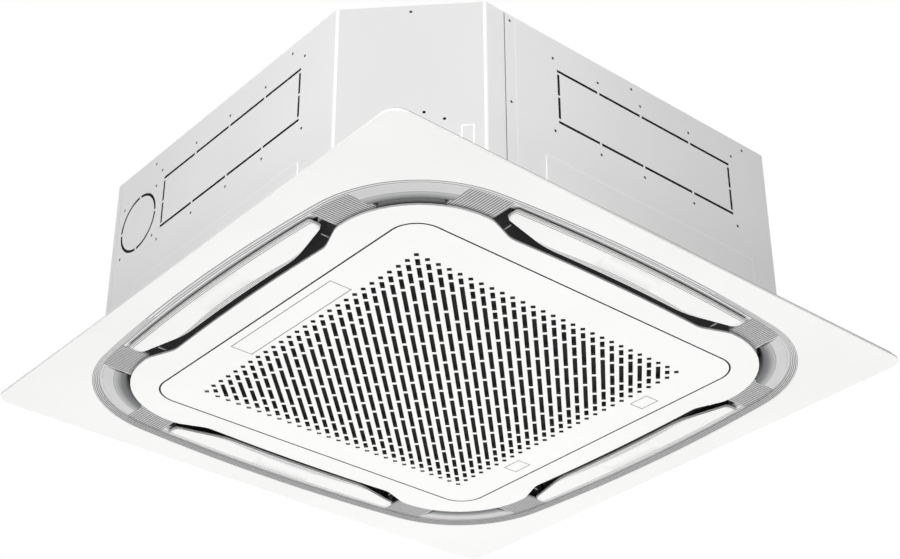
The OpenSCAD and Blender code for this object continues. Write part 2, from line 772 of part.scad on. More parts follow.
module side_sheet_back() color(sheet_grey) on_side(2) {
    pierced_sheet(2) knock_out(-170, 170, knock_low, knock_high, [-85, 0, 85]);
    pressed_pad(-200, 200, 42, 8);
}
module side_sheet_left() color(sheet_grey) on_side(3) {
    pierced_sheet(3) {
        knock_out(-141, 197, knock_low - 1.5, knock_high - 2, [-58.5, 27, 113]);
        round_knock_out(-205.5, body_z + 149.5, 47.5);
        for (s = [-167, 175]) wall_hole(s, body_top - 15);
    }
    pressed_pad(-200, 200, 42, 8);
}

module roof_plate() color(sheet_grey) translate([0, 0, body_top - sheet_t])
    linear_extrude(sheet_t) octagon(0);

bracket_z = body_z + 13;
bracket_t = 2.5;
bracket_w = 44;
bracket_len = 42;
screw_u = 12;
screw_z = bracket_z + 18;
screw_r = 2.5;
module hanger_brackets() color("#b8bcc0") difference() {
    for (k = [0:3]) on_corner(k) difference() {
        union() {
            translate([-bracket_w / 2, -bracket_t, bracket_z]) cube([bracket_w, bracket_t, 28]);
            translate([-bracket_w / 2, -bracket_len, bracket_z]) cube([bracket_w, bracket_len, bracket_t]);
        }
        for (u = [-screw_u, screw_u]) translate([u, 1, screw_z]) rotate([90, 0, 0])
            cylinder(r = screw_r + 0.1, h = 5);
    }
    for (x = [-1, 1], y = [-1, 1]) translate([x * hanger_pitch / 2, y * hanger_pitch / 2, bracket_z - 1])
        linear_extrude(bracket_t + 2) {
            reach = (hanger_slot_len - hanger_slot_w) / 2;
            square([2 * reach, hanger_slot_w], center = true);
            for (s = [-reach, reach]) translate([s, 0]) circle(hanger_slot_w / 2);
        }
}
module bracket_screws() color("silver") for (k = [0:3], s = [-1, 1]) on_corner(k)
    translate([s * screw_u, 0, screw_z]) rotate([90, 0, 0]) {
        translate([0, 0, bracket_t]) cylinder(r = 4.5, h = 2.5);
        translate([0, 0, -4]) cylinder(r = screw_r, h = 4 + bracket_t + eps);
    }

module wall_foam() color("#4a4a4a") translate([0, 0, pan_top + fit])
    linear_extrude(coil_top - pan_top - fit) difference() {
        octagon(sheet_t + fit);
        octagon(body_half - foam_in);
        translate([coil_end, coil_end]) square(body_half);
        on_side(1) translate([gland_s - 16, -body_half]) square([32, 40]);
    }

module roof_foam() color("#4a4a4a") translate([0, 0, roof_foam_z]) linear_extrude(10) difference() {
    octagon(sheet_t + fit);
    circle(105);
    translate([coil_end, coil_end]) square(body_half);
}

// ---- Drain pan, bell mouth and coil ----

gutter_z = body_z + 20;
module drain_pan() color("#f0f0ea") difference() {
    translate([0, 0, body_z]) linear_extrude(pan_h) difference() {
        octagon(sheet_t + fit);
        rounded_square(pan_hole_w, pan_hole_r);
        each_side() translate([-duct_t, -duct_out]) square([2 * duct_t, duct_out - duct_in]);
    }
    // Pockets for the bracket screws
    for (k = [0:3]) on_corner(k) for (u = [-screw_u, screw_u]) corner_bore(u, screw_z, screw_r + fit);
    translate([0, 0, gutter_z]) linear_extrude(pan_h) {
        difference() {
            rounded_square(2 * coil_half + 6, coil_corner_r + 3);
            rounded_square(2 * (coil_half - coil_t) - 2, coil_corner_r - coil_t - 1);
        }
        intersection() {
            octagon(20);
            translate([coil_end, coil_end]) square(body_half);
            rotate(45) translate([368.5, -body_half]) square(2 * body_half);
        }
    }
}

// Quarter-round inlet of the bell mouth
function mouth_point(r, a) = [bell_r + r * cos(a), body_z + mouth_curve + r * sin(a)];
module bell_mouth() color("#e6e6e6") {
    flange_t = 3;
    difference() {
        union() {
            translate([0, 0, body_z]) linear_extrude(flange_t) difference() {
                rounded_square(pan_hole_w - 2 * fit, pan_hole_r - fit);
                circle(bell_r - 8, $fn = big_fn);
            }
            for (x = [-1, 1], y = [-1, 1]) translate([x * bolt_at, y * bolt_at, body_z])
                cylinder(r = 7, h = 13);
        }
        panel_bolt_holes(2.7);
    }
    rotate_extrude($fn = big_fn) polygon(concat(
        [for (a = [264:-7:180]) mouth_point(mouth_curve, a)], [[throat_r, bell_top]],
        [[throat_r + bell_wall, bell_top]],
        [for (a = [180:7:264]) mouth_point(mouth_curve - bell_wall, a)]));
}

// Vertical fins across a thin ring of tube plate, open at the back right corner
fin_t = 1.2;
coil_mid = coil_half - coil_t / 2;
module coil() color("#c4c8cc") translate([0, 0, gutter_z + fit]) linear_extrude(coil_top - gutter_z - fit)
    difference() {
        union() {
            difference() {
                rounded_square(2 * coil_mid + 1.6, coil_corner_r - coil_t / 2 + 0.8);
                rounded_square(2 * coil_mid - 1.6, coil_corner_r - coil_t / 2 - 0.8);
            }
            straight = coil_half - coil_corner_r;
            count = floor(straight / fin_pitch);
            each_side() for (i = [-count:count]) translate([i * fin_pitch, -coil_mid])
                square([fin_t, coil_t], center = true);
            for (k = [0:3], a = [9:9:81]) rotate(90 * k) translate([straight, straight]) rotate(a)
                translate([coil_corner_r - coil_t / 2, 0]) square([coil_t, fin_t], center = true);
        }
        translate([coil_end, coil_end]) square(coil_half);
    }

module coil_end_plates() color("#b8bcc0") at_coil_ends()
    translate([coil_end + fit, -coil_half, gutter_z + fit])
        cube([coil_end_x - coil_end - fit, coil_t, coil_top - gutter_z - fit]);
// Draws on the coil's end at the back (running along X), and its mirror image at the right
module at_coil_ends() for (m = [0, 1]) mirror([m, -m, 0]) mirror([0, 1, 0]) children();

module coil_bends() color("#c87a4a") at_coil_ends() for (z = [95:22:205])
    translate([coil_end_x, -coil_mid + (z % 44 == 7 ? 8 : -8), body_z + z])
        rotate([90, 0, 0]) rotate_extrude(angle = 180, start = -90) translate([9, 0]) circle(3.5, $fn = 24);

module coil_baffle() color("#b8bcc0") {
    inner = coil_half - coil_t;
    translate([0, 0, gutter_z + fit]) linear_extrude(coil_top - gutter_z - fit)
        polygon([[coil_end_x, inner - 1], [coil_end_x, inner + 2],
            [inner + 2, coil_end_x], [inner - 1, coil_end_x]]);
}

// ---- Pipes and drain, in the open corner ----

// Points on the diagonal towards the back right corner: u across it, d from the middle
module on_diagonal(u, z) rotate(45) translate([0, -u, z]) children();
header_at = [coil_end + 47, coil_mid];
header_d = (header_at.x + header_at.y) / sqrt(2);
pipe_u = (header_at.y - header_at.x) / sqrt(2);
module pipe_stub(r, z, side) {
    // Header along the coil's end, feeders from it and the stub out of the corner
    mirror([side, -side, 0]) {
        translate([header_at.x, header_at.y, body_z + 60]) cylinder(r = r, h = 150);
        for (h = [75, 120, 165]) along_x(coil_end_x, header_at.x, header_at.y, body_z + h, 3);
        rotate(45) along_x(header_d, corner_face + 28, pipe_u, z, r);
    }
}
module gas_pipe() color("#c87a4a") pipe_stub(gas_pipe_r, gas_z, 0);
module liquid_pipe() color("#c87a4a") pipe_stub(liquid_pipe_r, liquid_z, 1);
// Brass unions on the ends of the pipes, outside the casing
union_d = corner_face + 16;
union_len = 16;
thread_len = 18;
module pipe_union(pipe_r, thread_r) rotate([0, 90, 0]) difference() {
    union() {
        cylinder(r = pipe_r * 1.3 + 4, h = union_len, $fn = 6);
        translate([0, 0, union_len - eps]) cylinder(r = thread_r, h = thread_len);
    }
    translate([0, 0, -1]) cylinder(r = pipe_r + run, h = 13);
    cylinder(r = pipe_r - 1.5, h = union_len + thread_len + 1);
}
module pipe_unions() color("#c9a24a") {
    rotate(45) translate([union_d, pipe_u, gas_z]) pipe_union(gas_pipe_r, gas_thread_r);
    rotate(45) translate([union_d, -pipe_u, liquid_z]) pipe_union(liquid_pipe_r, liquid_thread_r);
}

module drain_pump() color("#e8e8e8") translate([pump_at, pump_at, 0]) {
    translate([0, 0, gutter_z + 3]) cylinder(r = 14, h = 23);
    translate([0, 0, pan_top]) cylinder(r = pump_r, h = 62);
    translate([0, 0, pan_top + 62 - eps]) cylinder(r = 18, h = 10);
    // Bracket up to the roof
    rotate(45) translate([-16, -20, pan_top + 55]) cube([2, 40, body_top - sheet_t - pan_top - 55]);
}

module drain_outlet() color("#d8d8d8") {
    d = norm([pump_at, pump_at]);
    on_diagonal(0, drain_z) difference() {
        union() {
            along_x(corner_face - 30, corner_face + 1, 0, 0, drain_neck_r);
            along_x(corner_face, corner_face + 3, 0, 0, drain_r + 3);
            along_x(corner_face + 3 - eps, corner_face + 45, 0, 0, drain_r);
        }
        along_x(corner_face - 26, corner_face + 46, 0, 0, drain_r - 5);
    }
    on_diagonal(0, drain_z) along_x(d, corner_face - 28, 0, 0, 7);
    translate([pump_at, pump_at, pan_top + 72]) cylinder(r = 8, h = drain_z - pan_top - 72 + 8.5);
}

module float_guide() color("#e8e8e8") {
    translate([float_at, float_at, gutter_z]) cylinder(r = 2, h = 45);
    translate([float_at, float_at, gutter_z + 40]) rotate(45) translate([-2, -3, 0])
        cube([norm([pump_at, pump_at]) - norm([float_at, float_at]) - pump_r + 2 - fit, 6, 5]);
}
module float() color("white") translate([float_at, float_at, gutter_z + fit]) difference() {
    cylinder(r = 9, h = 14);
    translate([0, 0, -1]) cylinder(r = 2 + run, h = 16);
}

// ---- Fan ----

blade_in = 128;
flare_z = fan_low + 12;
rim_z = fan_low + 33;
plate_t = 3;
// Back plate with a dome round the motor
module turbo_fan() color("#3c3c3c") rotate_extrude() polygon([[81, fan_top - plate_t],
    [fan_r + 2, fan_top - plate_t], [fan_r + 2, fan_top], [78, fan_top], [66, dome_low + 6],
    [shaft_r + 0.02, dome_low + 6], [shaft_r + 0.02, dome_low - 12], [18, dome_low - 12],
    [18, dome_low + 3], [69, dome_low + 3]]);
module fan_blades() color("#3c3c3c") difference() {
    for (i = [0:blade_count - 1]) rotate(i * 360 / blade_count)
        translate([0, 0, flare_z]) linear_extrude(fan_top - plate_t - flare_z)
            polygon(blade_points(blade_in, fan_r - 1));
    // Clears the space below the flared shroud
    rotate_extrude() polygon([[shroud_in + 0.2, fan_low - 1], [fan_r + 9, fan_low - 1],
        [fan_r + 9, rim_z + 10.1], [fan_r + 2, rim_z + 3.1], [shroud_in + 0.2, flare_z + 3.1]]);
}
// Shroud round the inlet
module fan_shroud() color("#3c3c3c") rotate_extrude() polygon([[shroud_in, fan_low],
    [shroud_in + 3, fan_low], [shroud_in + 3, flare_z], [fan_r + 2, rim_z], [fan_r + 2, rim_z + 3],
    [shroud_in, flare_z + 3]]);
// Backward-curved blade: the angle grows with the radius
function blade_points(r0, r1) = let (steps = 8, lean = 46, half_t = 1.6,
    line = [for (i = [0:steps]) let (r = r0 + (r1 - r0) * i / steps, a = lean * pow(i / steps, 0.8))
        [r, a]])
    concat([for (p = line) (p[0]) * [cos(p[1] + half_t * 57 / p[0]), sin(p[1] + half_t * 57 / p[0])]],
        [for (i = [steps:-1:0]) let (p = line[i])
            (p[0]) * [cos(p[1] - half_t * 57 / p[0]), sin(p[1] - half_t * 57 / p[0])]]);

module fan_shaft() color("silver") translate([0, 0, dome_low - 26])
    cylinder(r = shaft_r, h = motor_z + 40 - dome_low + 26);
module fan_nut() color("silver") translate([0, 0, dome_low - 12 - 9]) difference() {
    union() {
        cylinder(r = 10, h = 7, $fn = 6);
        translate([0, 0, 7 - eps]) cylinder(r = 13, h = 2);
    }
    translate([0, 0, -1]) cylinder(r = shaft_r + 0.02, h = 12);
}

module fan_motor() color("#c8ccd0") difference() {
    union() {
        translate([0, 0, motor_z]) cylinder(r = motor_r, h = 30);
        translate([0, 0, motor_z + 30 - eps]) cylinder(r = motor_r + 3, h = 3);
        translate([0, 0, motor_z + 33 - 2 * eps]) cylinder(r = motor_r, h = motor_top - motor_z - 33 + eps);
        translate([0, 0, motor_top - eps]) linear_extrude(4) {
            circle(motor_r);
            for (a = [0:120:240]) rotate(a) {
                translate([0, -8]) square([80, 16]);
                translate([80, 0]) circle(8);
            }
        }
    }
    translate([0, 0, motor_z - 1]) cylinder(r = shaft_r + run, h = 42);
}
module motor_mounts() color("#303030") for (a = [0:120:240]) rotate(a)
    translate([80, 0, motor_top + 4 - eps]) {
        cylinder(r = 8, h = 14);
        translate([0, 0, 4]) cylinder(r = 10, h = 6);
    }
module motor_bracket() color("#b8bcc0") {
    translate([0, 0, mount_top - eps]) linear_extrude(2.5) for (a = [0:120:240]) rotate(a) {
        translate([0, -14]) square([88, 28]);
        translate([80, 0]) circle(14);
    }
    for (a = [0:120:240]) rotate(a) translate([80, 0, mount_top])
        cylinder(r = 9, h = body_top - sheet_t - mount_top);
}

// ---- Electrics ----

box_size = [270, 60, 28];
box_at = [0, 242, body_z - fit];
module control_box() color("#c8ccd0") translate([box_at.x, box_at.y, box_at.z - box_size.z]) difference() {
    box(box_size);
    translate([0, 0, -1]) box([box_size.x - 4, box_size.y - 4, box_size.z - 1]);
}
module control_lid() color("#c8ccd0") translate([box_at.x, box_at.y, box_at.z - box_size.z - 1.5])
    box([box_size.x, box_size.y, 1.5]);
module circuit_board() color("darkgreen") translate([box_at.x, box_at.y, box_at.z - 2]) mirror([0, 0, 1]) {
    for (x = [-115, 115], y = [-18, 18]) translate([x, y, 0]) cylinder(r = 3, h = 4);
    translate([0, 0, 4 - eps]) box([250, 48, 1.6]);
    translate([-60, 5, 5.6 - 2 * eps]) cylinder(r = 11, h = 16);
    translate([-98, -4, 5.6 - 2 * eps]) box([36, 30, 15]);
    translate([70, -12, 5.6 - 2 * eps]) box([90, 18, 12]);
    translate([20, 0, 5.6 - 2 * eps]) box([24, 24, 4]);
}

gland_thread_r = 8;
module cable_gland() color("#303030") on_side(1)
    translate([gland_s, -body_half, gland_z]) rotate([90, 0, 0])
    difference() {
        union() {
            cylinder(r = 13, h = 6, $fn = 6);
            translate([0, 0, 6 - eps]) cylinder(r = 11, h = 12);
            translate([0, 0, -8]) cylinder(r = gland_thread_r, h = 8 + eps);
        }
        translate([0, 0, -9]) cylinder(r = 5, h = 28);
    }

outer_panel();
ceiling_seal();
channel_rim();
channel_liner();
corner_outlets();
inner_frame();
air_guide();
panel_chassis();
duct_wall();
grille_collar();
body_seal();
panel_bolts();
flap_front();
flap_right();
flap_back();
flap_left();
flap_bushes();
flap_motors();
grille();
grille_hinge_pins();
receiver_cover();
receiver_board();
latch_front();
latch_back();
filter_frame();
filter_mesh();
side_sheet_front();
side_sheet_right();
side_sheet_back();
side_sheet_left();
roof_plate();
hanger_brackets();
bracket_screws();
wall_foam();
roof_foam();
drain_pan();
bell_mouth();
coil();
coil_end_plates();
coil_bends();
coil_baffle();
gas_pipe();
liquid_pipe();
pipe_unions();
drain_pump();
drain_outlet();
float_guide();
float();
fan_motor();
motor_bracket();
motor_mounts();
fan_shaft();
turbo_fan();
fan_blades();
fan_shroud();
fan_nut();
control_box();
control_lid();
circuit_board();
cable_gland();
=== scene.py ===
import json
import math
import bmesh
import bpy
from mathutils import Matrix, Vector


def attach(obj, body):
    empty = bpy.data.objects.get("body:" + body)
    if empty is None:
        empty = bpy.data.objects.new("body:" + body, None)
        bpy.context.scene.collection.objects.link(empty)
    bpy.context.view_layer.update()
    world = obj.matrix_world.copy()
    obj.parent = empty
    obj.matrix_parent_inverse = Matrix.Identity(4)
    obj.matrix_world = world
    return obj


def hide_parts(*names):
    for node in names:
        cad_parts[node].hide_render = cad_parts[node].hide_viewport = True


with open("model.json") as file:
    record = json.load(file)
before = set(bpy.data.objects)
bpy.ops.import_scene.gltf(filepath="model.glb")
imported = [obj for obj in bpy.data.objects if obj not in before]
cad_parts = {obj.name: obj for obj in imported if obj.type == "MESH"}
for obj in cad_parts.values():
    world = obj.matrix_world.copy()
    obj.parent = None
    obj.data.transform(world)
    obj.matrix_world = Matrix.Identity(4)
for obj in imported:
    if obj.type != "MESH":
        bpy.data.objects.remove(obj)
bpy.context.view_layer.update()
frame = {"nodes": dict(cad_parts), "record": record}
nodes = frame["nodes"]
print("frame loaded,", len(nodes), "nodes")

# Camera, below the panel and in front of its left corner
cameraView = {
    "place": (-1.5539, -1.8470, -1.3157),
    "right": (0.76276, -0.64668, -0.001809),
    "up": (-0.338518, -0.401664, 0.850924),
    "forward": (0.551002, 0.648438, 0.525286),
    "lens": 74.6, "sensor": 36, "nearest": 0.05, "farthest": 60,
}


def addCamera(view):
    camera = bpy.data.objects.new("camera", bpy.data.cameras.new("camera"))
    camera.data.lens = view["lens"]
    camera.data.sensor_width = view["sensor"]
    camera.data.clip_start = view["nearest"]
    camera.data.clip_end = view["farthest"]
    axes = Matrix((view["right"], view["up"], [-v for v in view["forward"]])).transposed()
    camera.matrix_world = Matrix.Translation(view["place"]) @ axes.to_4x4()
    bpy.context.scene.collection.objects.link(camera)
    bpy.context.scene.camera = camera


addCamera(cameraView)
bpy.context.scene.view_settings.view_transform = "Standard"
print("camera placed")


# Shader maths: a Wire is one output of a node, and its operators add Math nodes
class Wire:
    def __init__(self, finish, out):
        self.finish = finish
        self.out = out

    def maths(self, operation, first, second=None):
        values = {0: first} if second is None else {0: first, 1: second}
        return self.finish.node("Math", {"operation": operation}, values)

    def __add__(self, other):
        return self.maths("ADD", self, other)

    def __radd__(self, other):
        return self.maths("ADD", other, self)

    def __sub__(self, other):
        return self.maths("SUBTRACT", self, other)

    def __rsub__(self, other):
        return self.maths("SUBTRACT", other, self)

    def __mul__(self, other):
        return self.maths("MULTIPLY", self, other)

    def __rmul__(self, other):
        return self.maths("MULTIPLY", other, self)

    def __truediv__(self, other):
        return self.maths("DIVIDE", self, other)

    def __abs__(self):
        return self.maths("ABSOLUTE", self)

    def atLeast(self, other):
        return self.maths("MAXIMUM", self, other)

    def atMost(self, other):
        return self.maths("MINIMUM", self, other)

    def below(self, other):
        return self.maths("LESS_THAN", self, other)

    def over(self, other):
        return self.maths("GREATER_THAN", self, other)

    def rest(self, other):
        return self.maths("FLOORED_MODULO", self, other)

    def root(self):
        return self.maths("SQRT", self)

    # Even stripes across this value, at a rate in radians per metre
    def stripes(self, rate):
        return self.maths("SINE", self * rate)

    # A smooth step while this value goes from low to high
    def ramp(self, low, high, fromValue=0.0, toValue=1.0):
        return self.finish.node("MapRange", {"interpolation_type": "SMOOTHSTEP"}, {
            "Value": self, "From Min": low, "From Max": high, "To Min": fromValue, "To Max": toValue})


# A written colour, such as #f4f4f3, as the linear one that sockets hold
def linear(colour):
    parts = [int(colour[i:i + 2], 16) / 255 for i in (1, 3, 5)]
    return tuple(p / 12.92 if p < 0.04045 else ((p + 0.055) / 1.055) ** 2.4 for p in parts) + (1.0,)


# The nodes of one material, or of the world
class Finish:
    def __init__(self, name, owner=None):
        self.owner = owner or bpy.data.materials.new(name)
        self.owner.use_nodes = True
        self.tree = self.owner.node_tree
        self.tree.nodes.clear()

    # One node of a type, its settings first and then the values or links of its sockets
    def node(self, kind, settings=None, values=None, out=0):
        made = self.tree.nodes.new("ShaderNode" + kind)
        for key, value in (settings or {}).items():
            setattr(made, key, value)
        for key, value in (values or {}).items():
            if isinstance(value, Wire):
                self.tree.links.new(value.out, made.inputs[key])
            else:
                made.inputs[key].default_value = value
        return Wire(self, made.outputs[out] if made.outputs else None)

    def place(self):
        return self.node("TexCoord", out="Object")

    def axes(self):
        split = self.node("SeparateXYZ", values={0: self.place()})
        parts = split.out.node.outputs
        return [Wire(self, parts[i]) for i in range(3)]

    def noise(self, scale, detail=2.0, rough=0.5, stretch=None):
        where = self.place()
        if stretch:
            where = self.node("Mapping", values={"Vector": where, "Scale": stretch})
        return self.node("TexNoise", values={"Vector": where, "Scale": scale, "Detail": detail,
                                             "Roughness": rough})

    def cells(self, scale, out="Distance"):
        return self.node("TexVoronoi", values={"Vector": self.place(), "Scale": scale}, out=out)

    def blendColour(self, factor, first, second):
        colours = [linear(c) if isinstance(c, str) else c for c in (first, second)]
        return self.node("Mix", {"data_type": "RGBA"}, {0: factor, 6: colours[0], 7: colours[1]}, 2)

    # Marks are pairs of a mask and a colour, painted over the base in turn
    def paintOver(self, base, marks):
        for mask, paint in marks:
            base = self.blendColour(mask, base, paint)
        return base

    def bump(self, height, distance, strength=1.0):
        return self.node("Bump", values={"Height": height, "Distance": distance, "Strength": strength})

    # The shader, with its plain settings and its varying inputs, wired to the output
    def shade(self, **sockets):
        shader = self.node("BsdfPrincipled", values={k.replace("_", " "): v for k, v in sockets.items()})
        self.node("OutputMaterial", values={"Surface": shader})
        return self.owner


# Satin white moulding, with marks painted over it
def whitePlastic(name="whitePlastic", colour="#f4f4f3", second="#efefee", marks=None):
    f = Finish(name)
    cloud = f.noise(scale=3.5)
    base = f.blendColour(cloud.ramp(0.3, 0.7), colour, second)
    return f.shade(Base_Color=f.paintOver(base, marks(f) if marks else ()),
                   Roughness=cloud.ramp(0.3, 0.7, 0.38, 0.46), Specular_IOR_Level=0.4,
                   Normal=f.bump(f.noise(scale=900, detail=1), distance=0.00004, strength=0.5))


# Grey moulding of the channel
def greyPlastic(name="greyPlastic", colour="#cfd0d0", second="#c8c9c9", marks=None):
    f = Finish(name)
    cloud = f.noise(scale=6)
    base = f.blendColour(cloud.ramp(0.3, 0.7), colour, second)
    return f.shade(Base_Color=f.paintOver(base, marks(f) if marks else ()),
                   Roughness=cloud.ramp(0.3, 0.7, 0.5, 0.58), Specular_IOR_Level=0.4,
                   Normal=f.bump(f.noise(scale=700, detail=2), distance=0.00006, strength=0.6))


def darkPlastic(name="darkPlastic", colour="#343434", second="#2b2b2c", marks=None):
    f = Finish(name)
    grain = f.noise(scale=420, detail=3)
    base = f.blendColour(f.noise(scale=9).ramp(0.3, 0.7), colour, second)
    return f.shade(Base_Color=f.paintOver(base, marks(f) if marks else ()),
                   Roughness=grain.ramp(0.3, 0.7, 0.5, 0.64), Specular_IOR_Level=0.4,
                   Normal=f.bump(grain, distance=0.0001, strength=0.6))


def partPlastic():
    f = Finish("partPlastic")
    cloud = f.noise(scale=8)
    base = f.blendColour(cloud.ramp(0.25, 0.75), "#e9e8e4", "#dfdedb")
    return f.shade(Base_Color=base, Roughness=cloud.ramp(0.3, 0.7, 0.46, 0.56), Specular_IOR_Level=0.45,
                   Normal=f.bump(f.noise(scale=500, detail=2), distance=0.00008, strength=0.6))


# Painted steel of the body's walls; a wall has its turn, seams, fold and pad
def coatedSheet(name="coatedSheet", wall=()):
    f = Finish(name)
    rolled = f.noise(scale=5)
    base = f.blendColour(rolled.ramp(0.25, 0.75), "#efeeee", "#ecebeb")
    return f.shade(Base_Color=f.paintOver(base, wallMarks(f, *wall) if wall else ()),
                   Roughness=rolled.ramp(0.25, 0.75, 0.36, 0.42), Specular_IOR_Level=0.5,
                   Normal=f.bump(f.noise(scale=260), distance=0.00006, strength=0.5))


def zincSteel():
    f = Finish("zincSteel")
    tone = f.node("SeparateColor", values={0: f.cells(scale=90, out="Color")})
    lines = f.noise(scale=60, detail=3, rough=0.6, stretch=(1, 1, 14))
    base = f.blendColour(tone.ramp(0.1, 0.9), "#b4b8bc", "#c3c7ca")
    return f.shade(Base_Color=base, Metallic=1.0, Roughness=lines.ramp(0.3, 0.7, 0.3, 0.45),
                   Normal=f.bump(lines, distance=0.00005, strength=0.5))


def bareFins():
    f = Finish("bareFins")
    z = f.axes()[2]
    base = f.blendColour(f.noise(scale=25).ramp(0.3, 0.7), "#c2c6ca", "#d0d3d6")
    return f.shade(Base_Color=base, Metallic=1.0, Roughness=f.noise(scale=120).ramp(0.3, 0.7, 0.32, 0.46),
                   Normal=f.bump(z.stripes(2400.0), distance=0.0002, strength=0.6))


def bareCopper():
    f = Finish("bareCopper")
    age = f.noise(scale=30, detail=4)
    base = f.blendColour(age.ramp(0.35, 0.7), "#cf7f50", "#a5613c")
    return f.shade(Base_Color=base, Metallic=1.0, Roughness=age.ramp(0.3, 0.7, 0.24, 0.42),
                   Normal=f.bump(f.noise(scale=200), distance=0.00004, strength=0.5))


def turnedBrass():
    f = Finish("turnedBrass")
    turning = f.noise(scale=300)
    base = f.blendColour(turning.ramp(0.3, 0.7), "#cfa852", "#bd9744")
    return f.shade(Base_Color=base, Metallic=1.0, Roughness=turning.ramp(0.3, 0.7, 0.2, 0.34),
                   Normal=f.bump(turning, distance=0.00004, strength=0.4))


def cellFoam(name="cellFoam", first="#3f3f40", second="#565657"):
    f = Finish(name)
    cells = f.cells(scale=520)
    base = f.blendColour(cells.ramp(0.1, 0.6), first, second)
    return f.shade(Base_Color=base, Roughness=cells.ramp(0, 0.6, 0.85, 0.95), Specular_IOR_Level=0.2,
                   Normal=f.bump(cells, distance=0.0008, strength=0.6))


def beadFoam():
    f = Finish("beadFoam")
    beads = f.cells(scale=230)
    base = f.blendColour(beads.ramp(0.15, 0.6), "#f1f1ec", "#dededa")
    return f.shade(Base_Color=base, Roughness=beads.ramp(0, 0.6, 0.7, 0.85), Specular_IOR_Level=0.25,
                   Normal=f.bump(1.0 - beads, distance=0.0006, strength=0.5))


def greenBoard():
    f = Finish("greenBoard")
    x, y = f.axes()[:2]
    tracks = x.stripes(2600.0).atLeast(y.stripes(2100.0)).ramp(0.86, 0.95)
    patches = f.noise(scale=60).ramp(0.48, 0.54)
    base = f.blendColour(tracks * patches, "#0d4a22", "#2e7a45")
    return f.shade(Base_Color=base, Roughness=patches.ramp(0, 1, 0.35, 0.5), Specular_IOR_Level=0.5,
                   Normal=f.bump(tracks, distance=0.0001, strength=0.6))


def fineNet():
    f = Finish("fineNet")
    x, y = f.axes()[:2]
    threads = x.stripes(3100.0).atLeast(y.stripes(3100.0))
    base = f.blendColour(threads.ramp(0.2, 0.8), "#1d1819", "#35302f")
    return f.shade(Base_Color=base, Roughness=threads.ramp(0, 1, 0.9, 0.7), Specular_IOR_Level=0.3,
                   Normal=f.bump(threads, distance=0.0003, strength=0.7))


def blackRubber():
    f = Finish("blackRubber")
    grain = f.noise(scale=350)
    base = f.blendColour(grain.ramp(0.3, 0.7), "#262627", "#323233")
    return f.shade(Base_Color=base, Roughness=grain.ramp(0.3, 0.7, 0.62, 0.8), Specular_IOR_Level=0.4,
                   Normal=f.bump(grain, distance=0.0001, strength=0.6))


# Distance past the edge of a rounded square, negative inside it
def pastSquare(x, y, half, corner):
    over = [(abs(v) - (half - corner)).atLeast(0.0) for v in (x, y)]
    return (over[0] * over[0] + over[1] * over[1]).root() - corner


# 1 on a thin line along the edge of an upright box; a box off the middle in y is drawn twice
def boxLine(x, y, box, width):
    middleX, middleY, halfX, halfY = box
    alongY = abs(y) - middleY if middleY else y
    past = (abs(x - middleX) - halfX).atLeast(abs(alongY) - halfY)
    return abs(past).below(width)


# Inner frame: half side and corner of its opening, whose walls lie in the shade of the gap; painted shade
# darkens its edge round the grille and those walls
frameLook = {
    "opening": (0.311, 0.044), "edge": 0.0004, "wallHalf": 0.0012, "wallFrom": 0.0006,
    "gapShade": "#585858", "wallShade": "#2c2a2a",
}


def frameMarks(f, look=frameLook):
    x, y, z = f.axes()
    past = pastSquare(x, y, *look["opening"])
    wall = abs(past).below(look["wallHalf"]) * z.over(look["wallFrom"])
    # Painted shade: the gap tone on the opening's edge and the wall tone on its walls
    return [(past.below(look["edge"]), look["gapShade"]), (wall, look["wallShade"])]


# Grille: half side and corner, then its cover and latches as middles and half sizes.
# Painted shade darkens its slots' walls and its edge by the gap, and thin lines run round the cover and the
# latches
grilleLook = {
    "outline": (0.309, 0.042), "edge": 0.0004,
    "receiver": (-0.277, 0.0, 0.01765, 0.11665), "latch": (0.277, 0.1425, 0.01215, 0.01665),
    "lineHalf": 0.0008, "wallFrom": 0.0005, "wallTo": 0.00235,
    "line": "#858585", "gapShade": "#585858", "wallShade": "#221d1e",
}


def grilleMarks(f, look=grilleLook):
    x, y, z = f.axes()
    walls = z.over(look["wallFrom"]) * z.below(look["wallTo"])
    receiver, latch = (boxLine(x, y, look[k], look["lineHalf"]) for k in ("receiver", "latch"))
    edge = pastSquare(x, y, *look["outline"]).over(-look["edge"])
    # The gap and wall tones are painted shade; the line tone marks the joints round the cover and the latches
    return [(receiver.atLeast(latch), look["line"]), (edge, look["gapShade"]), (walls, look["wallShade"])]


# Outer edge of the air channel: arcs of a large radius joined by corner arcs.
# Past the zones' places along a side come the ribs and then the corner outlet
channelPlan = {
    "sideRadius": 2.4, "sideMiddle": 1.9665, "cornerRadius": 0.187, "cornerMiddle": 0.23409,
    "ribsFrom": 0.2225, "outletFrom": 0.2885, "linerLevel": 0.006,
}


# Distance inward from the channel's outer edge
def insideChannel(x, y, plan=channelPlan):
    low, high = abs(x).atMost(abs(y)), abs(x).atLeast(abs(y))
    far = high + plan["sideMiddle"]
    side = plan["sideRadius"] - (low * low + far * far).root()
    across = [v - plan["cornerMiddle"] for v in (low, high)]
    corner = plan["cornerRadius"] - (across[0] * across[0] + across[1] * across[1]).root()
    onCorner = (low / far).over(plan["cornerMiddle"] / (plan["cornerMiddle"] + plan["sideMiddle"]))
    return side + (corner - side) * onCorner


# Rim: a line of painted shade at each step; on the front and left sides only at every other one
rimLook = {
    "step": 0.0025, "before": 0.0006, "line": 0.0011, "wideStep": 0.0062, "wideLine": 0.0013,
    "wideBelow": -0.3, "top": 0.0033, "lineShade": "#7c7d7e",
}


